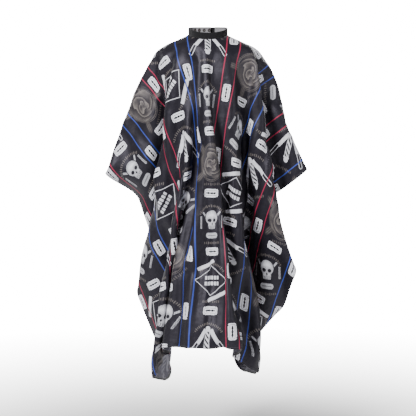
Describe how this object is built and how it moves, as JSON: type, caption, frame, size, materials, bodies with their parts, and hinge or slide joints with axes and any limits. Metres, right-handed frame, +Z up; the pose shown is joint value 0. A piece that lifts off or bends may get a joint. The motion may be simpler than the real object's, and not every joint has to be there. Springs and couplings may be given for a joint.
{
  "type": "barber cape",
  "caption": "Poncho-shaped cloth cape draped as worn, open at the back, with a snap-fastened neckband; black cloth with a white barber-tool print and red and blue lines.",
  "frame": {"origin": "bottom centre of the draped cape's box: z = 0 at the lowest point of the hem", "axes": "+Z up along the wearer's neck, -Y the way the wearer faces, +X to the wearer's left"},
  "size_m": [0.756, 0.4828, 1.3192],
  "materials": {
    "cape_cloth": "thin plain-weave polyester with a slight sheen, printed on the outside",
    "neckband_tape": "matte black woven tape",
    "neckband_padding": "soft padding and stiffening strip, hidden inside the tape",
    "snap_plastic": "dark moulded plastic, satin"
  },
  "bodies": {
    "cape": {"cape_panel": "cape_cloth", "neckband_front": "neckband_tape", "neckband_front_padding": "neckband_padding"},
    "left_flap": {"left_back_flap": "cape_cloth", "neckband_left_end": "neckband_tape", "neckband_left_end_padding": "neckband_padding"},
    "right_flap": {"right_back_flap": "cape_cloth", "neckband_right_end": "neckband_tape", "neckband_right_end_padding": "neckband_padding", "snap_stud_1": "snap_plastic", "snap_stud_2": "snap_plastic", "snap_stud_3": "snap_plastic", "snap_stud_4": "snap_plastic", "snap_post_1": "snap_plastic", "snap_post_2": "snap_plastic", "snap_post_3": "snap_plastic", "snap_post_4": "snap_plastic"},
    "tab": {"closure_tab": "neckband_tape", "closure_tab_interlining": "neckband_padding", "snap_cap_1": "snap_plastic", "snap_cap_2": "snap_plastic", "snap_socket_1": "snap_plastic", "snap_socket_2": "snap_plastic"}
  },
  "joints": [
    {"name": "left_flap_fold", "type": "hinge", "parent": "cape", "child": "left_flap", "pos_m": [0.06782, 0.05283, 1.293], "axis": [0.3616, 0.3202, -0.8756], "range_deg": [0, 75]},
    {"name": "right_flap_fold", "type": "hinge", "parent": "cape", "child": "right_flap", "pos_m": [-0.06782, 0.05283, 1.293], "axis": [0.3616, -0.3202, 0.8756], "range_deg": [0, 45]},
    {"name": "tab_peel", "type": "hinge", "parent": "left_flap", "child": "tab", "pos_m": [0.0255, 0.06708, 1.308], "axis": [0, 0, -1], "range_deg": [0, 100]}
  ],
  "couplings": [
    {"joint": "right_flap_fold", "follows": "left_flap_fold", "ratio": 0.6}
  ]
}
